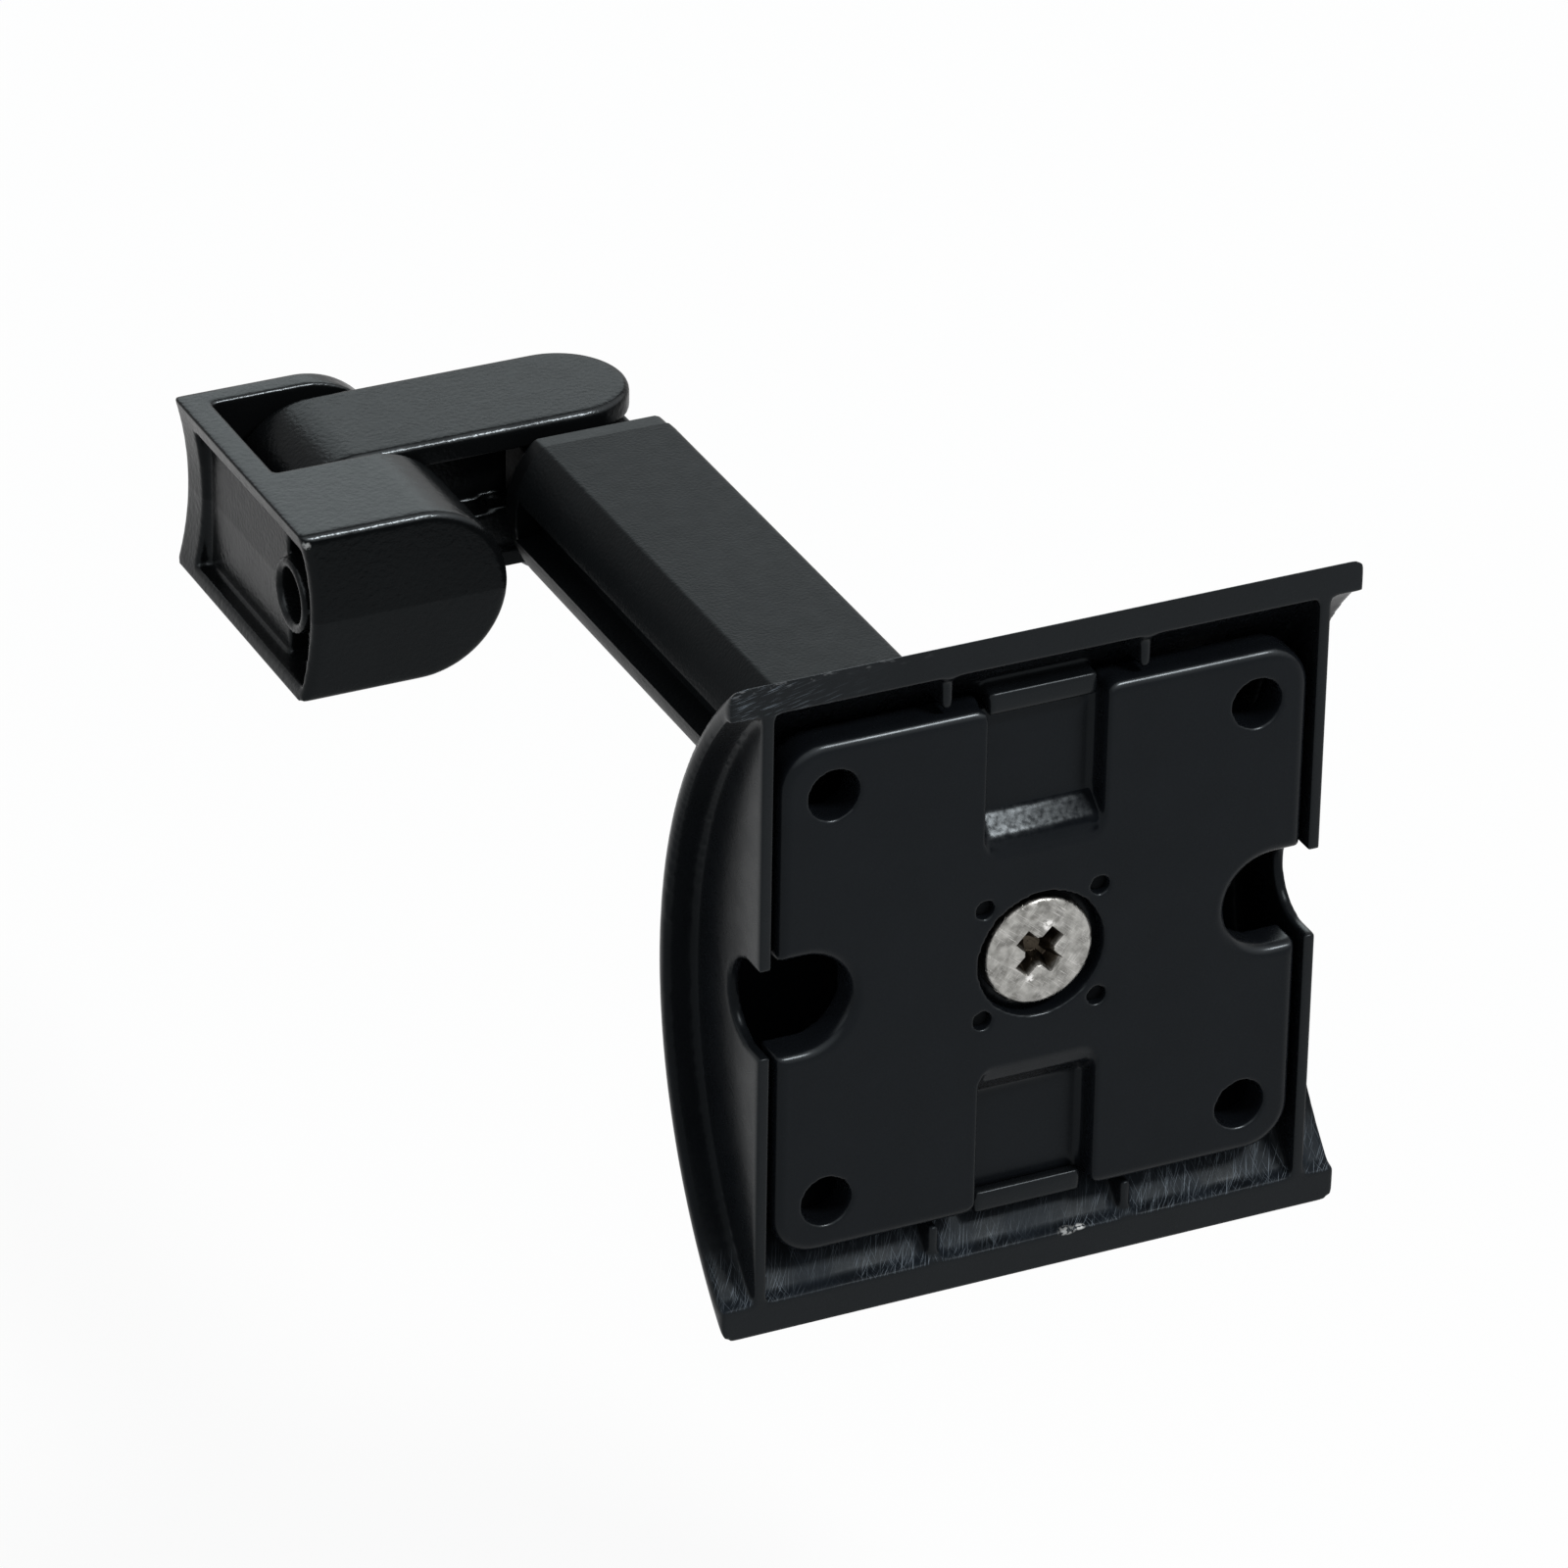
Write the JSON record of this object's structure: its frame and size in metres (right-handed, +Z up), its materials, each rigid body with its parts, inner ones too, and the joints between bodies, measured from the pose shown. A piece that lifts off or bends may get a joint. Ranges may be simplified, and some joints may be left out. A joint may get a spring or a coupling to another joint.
{
  "type": "speaker wall bracket",
  "caption": "Speaker wall bracket: square wall plate under a bowed clip-on cover, a straight grooved arm, a swivel link and a tilting saddle yoke.",
  "frame": {"origin": "middle of the wall plate's wall-side face, at the centre of the four wall-screw holes", "axes": "+Y into the room along the arm, +Z up, +X along the wall to the right as seen from the wall side"},
  "size_m": [0.0776, 0.1403, 0.0768],
  "materials": {
    "plate_coat": "satin black powder coat on zinc casting",
    "cover_plastic": "satin black moulded ABS, scuffed on the lips",
    "arm_coat": "fine-textured matt black coat on aluminium extrusion",
    "casting_coat": "matt black coat on die casting",
    "bare_casting": "bare casting",
    "zinc_steel": "zinc-plated steel",
    "black_steel": "black oxide steel",
    "nylon": "black nylon"
  },
  "bodies": {
    "wall_base": {"wall_plate": "plate_coat", "wall_cover": "cover_plastic", "arm_profile": "arm_coat", "arm_root_plug": "bare_casting", "arm_screw": "zinc_steel", "locating_pins": "zinc_steel", "end_knuckle": "casting_coat", "knuckle_screws": "black_steel", "swivel_bush": "nylon", "swivel_washer_upper": "nylon", "swivel_washer_lower": "nylon"},
    "swivel_arm": {"swivel_link": "casting_coat", "swivel_bolt": "black_steel", "swivel_spring_washer": "black_steel", "tilt_bush": "nylon"},
    "speaker_yoke": {"yoke": "casting_coat", "tilt_bolt": "black_steel", "tilt_spring_washer": "black_steel", "tilt_washer_front": "nylon", "tilt_washer_back": "nylon"}
  },
  "joints": [
    {"name": "swivel", "type": "hinge", "parent": "wall_base", "child": "swivel_arm", "pos_m": [0, 0.1234, 0], "axis": [0, 0, 1], "range_deg": [-180, 0]},
    {"name": "tilt", "type": "hinge", "parent": "swivel_arm", "child": "speaker_yoke", "pos_m": [-0.0274, 0.1234, -0.0008], "axis": [0, 1, 0], "range_deg": [-45, 45]}
  ]
}
